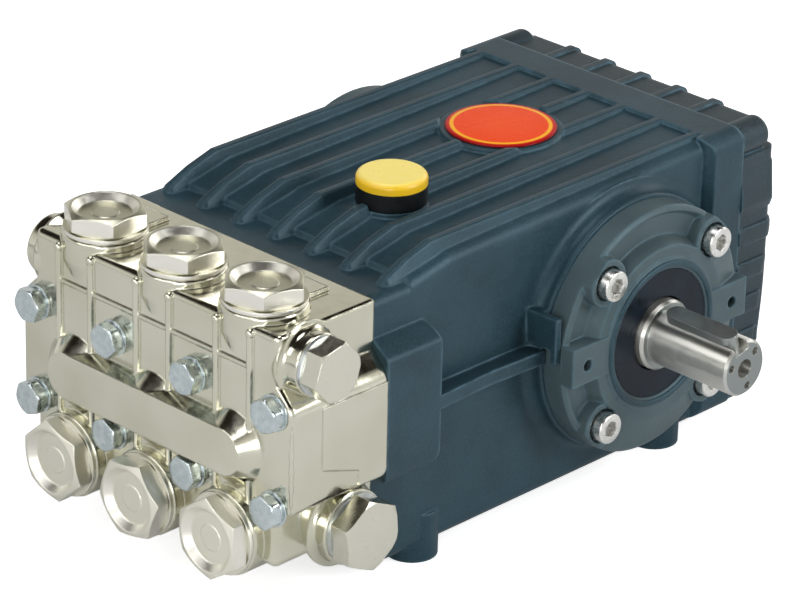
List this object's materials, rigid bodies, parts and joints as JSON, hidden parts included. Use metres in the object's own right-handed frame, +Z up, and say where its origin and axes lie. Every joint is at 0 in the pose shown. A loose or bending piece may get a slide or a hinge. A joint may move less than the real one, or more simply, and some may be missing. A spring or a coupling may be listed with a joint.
{
  "type": "plunger pump",
  "caption": "High-pressure plunger pump with a ribbed crankcase, a plated valve head in front, and a keyed drive shaft on one side.",
  "frame": {"origin": "centre of the four threaded feet, on the surface that they stand on", "axes": "+X along the crankshaft towards its keyed end, -Y towards the valve head, +Z up"},
  "size_m": [0.2285, 0.3093, 0.1461],
  "materials": {
    "painted_casting": "satin blue-grey paint on cast aluminium",
    "nickel_plate": "bright nickel plate on forged brass",
    "turned_steel": "ground and turned steel",
    "key_steel": "plain drawn steel",
    "seal_rubber": "smooth nitrile rubber",
    "washer_metal": "soft bare aluminium",
    "black_plastic": "moulded",
    "yellow_plastic": "moulded",
    "clear_plastic": "clear window with oil behind it"
  },
  "bodies": {
    "pump_body": {"crankcase": "painted_casting", "rear_cover": "painted_casting", "drive_bearing_cover": "painted_casting", "blind_bearing_cover": "painted_casting", "shaft_seal": "seal_rubber", "manifold": "nickel_plate", "filler_cap_base": "black_plastic", "oil_filler_cap": "yellow_plastic", "oil_sight_glass": "clear_plastic", "oil_drain_plug": "turned_steel", "delivery_valve_cap_1": "nickel_plate", "suction_valve_cap_1": "nickel_plate", "delivery_valve_cap_2": "nickel_plate", "suction_valve_cap_2": "nickel_plate", "delivery_valve_cap_3": "nickel_plate", "suction_valve_cap_3": "nickel_plate", "outlet_plug_right": "nickel_plate", "outlet_washer_right": "washer_metal", "outlet_plug_left": "nickel_plate", "outlet_washer_left": "washer_metal", "inlet_plug_right": "nickel_plate", "inlet_washer_right": "washer_metal", "inlet_plug_left": "nickel_plate", "inlet_washer_left": "washer_metal"},
    "crankshaft": {"crankshaft": "turned_steel", "shaft_key": "key_steel"}
  },
  "joints": [
    {"name": "crankshaft_spin", "type": "hinge", "parent": "pump_body", "child": "crankshaft", "pos_m": [0.092, 0.036, 0.0725], "axis": [1, 0, 0], "continuous": true}
  ]
}
